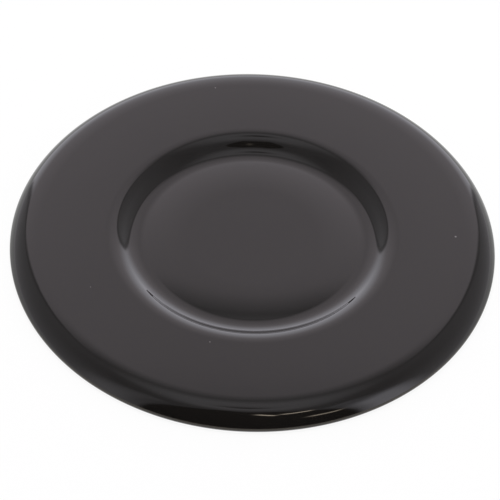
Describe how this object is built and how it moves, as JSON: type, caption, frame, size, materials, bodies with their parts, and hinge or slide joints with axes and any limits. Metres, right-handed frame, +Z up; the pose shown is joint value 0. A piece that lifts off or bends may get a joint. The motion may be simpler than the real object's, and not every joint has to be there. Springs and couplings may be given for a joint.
{
  "type": "gas burner cap",
  "caption": "Round black enamelled steel cap with a shallow central recess and a turned-down rim, which covers a gas burner head and spreads its flame.",
  "frame": {"origin": "on the cap's axis, level with the rim's cut edge, which is the plane the cap stands on", "axes": "+Z up along the cap's axis; X and Y are any two directions across it, because the cap is round"},
  "size_m": [0.1, 0.1, 0.0043],
  "materials": {
    "black_enamel": "glossy vitreous enamel"
  },
  "bodies": {
    "root": {"burner_cap": "black_enamel"}
  },
  "joints": []
}
